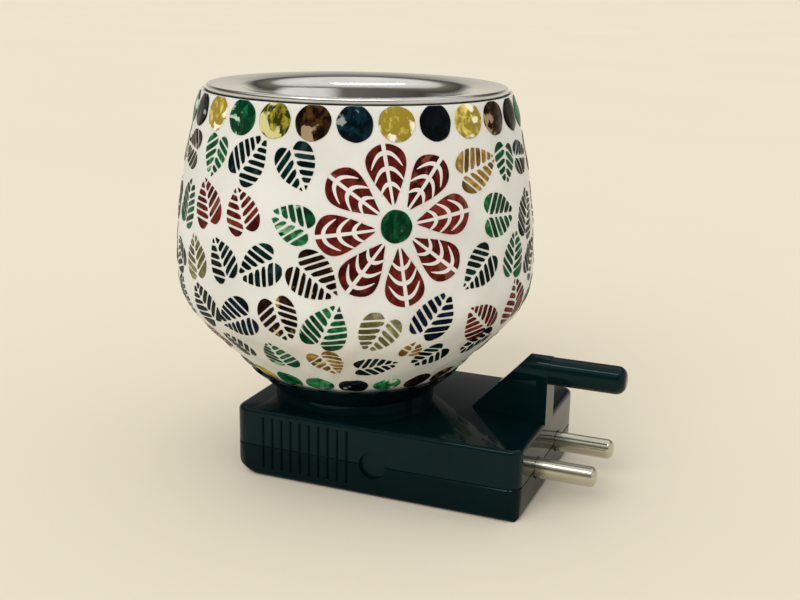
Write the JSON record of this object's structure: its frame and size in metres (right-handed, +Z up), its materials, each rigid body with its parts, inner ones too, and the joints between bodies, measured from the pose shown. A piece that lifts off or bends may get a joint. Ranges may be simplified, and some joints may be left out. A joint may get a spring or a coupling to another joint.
{
  "type": "plug-in wax melt warmer",
  "caption": "Plug-in wax melt warmer: a mosaic glass globe with a steel dish in its mouth, in a flared cup on a plug box with round pins and a dummy earth pin.",
  "frame": {"origin": "on the underside of the plug box, straight under the centre of the globe", "axes": "+X along the plug pins, out of the plug face; +Z up through the globe; +Y across the box"},
  "size_m": [0.119, 0.0946, 0.0986],
  "materials": {
    "case_black": "high gloss moulded",
    "pin_nickel": "nickel plated brass",
    "screw_steel": "zinc plated",
    "ceramic_white": "unglazed ceramic",
    "contact_brass": "spring brass strip",
    "lead_brown": "heat-proof sleeve",
    "lead_blue": "heat-proof sleeve",
    "glass_clear": "blown clear glass",
    "grout_white": "smoothed cement grout",
    "bond_clear": "cured adhesive",
    "chip_yellow": "coloured glass",
    "chip_green": "coloured glass",
    "chip_gold": "coloured glass",
    "chip_brown": "coloured glass",
    "chip_navy": "coloured glass",
    "chip_red": "coloured glass",
    "chip_black": "coloured glass",
    "chip_olive": "coloured glass",
    "dish_steel": "polished pressed steel",
    "bulb_clear": "quartz glass",
    "filament_wire": "tungsten wire"
  },
  "bodies": {
    "root": {"upper_case": "case_black", "lower_case": "case_black", "live_pin": "pin_nickel", "neutral_pin": "pin_nickel", "cord_hole_blank": "case_black", "case_screws": "screw_steel", "globe_gallery": "case_black", "lamp_socket": "ceramic_white", "socket_screws": "screw_steel", "socket_contacts": "contact_brass", "live_lead": "lead_brown", "neutral_lead": "lead_blue", "globe_glass": "glass_clear", "globe_grout": "grout_white", "globe_bond": "bond_clear", "yellow_dots": "chip_yellow", "green_dots": "chip_green", "gold_dots": "chip_gold", "brown_dots": "chip_brown", "navy_dots": "chip_navy", "red_petals": "chip_red", "green_centres": "chip_green", "black_leaves": "chip_black", "green_leaves": "chip_green", "red_leaves": "chip_red", "gold_leaves": "chip_gold", "brown_leaves": "chip_brown", "navy_leaves": "chip_navy", "olive_leaves": "chip_olive"},
    "dish": {"wax_dish": "dish_steel"},
    "bulb": {"bulb_glass": "bulb_clear", "bulb_filament": "filament_wire", "bulb_pins": "pin_nickel"}
  },
  "joints": [
    {"name": "dish_lift", "type": "slide", "parent": "root", "child": "dish", "axis": [0, 0, 1], "range_m": [0, 0.04]},
    {"name": "bulb_pull", "type": "slide", "parent": "root", "child": "bulb", "axis": [0, 0, 1], "range_m": [0, 0.009]}
  ]
}
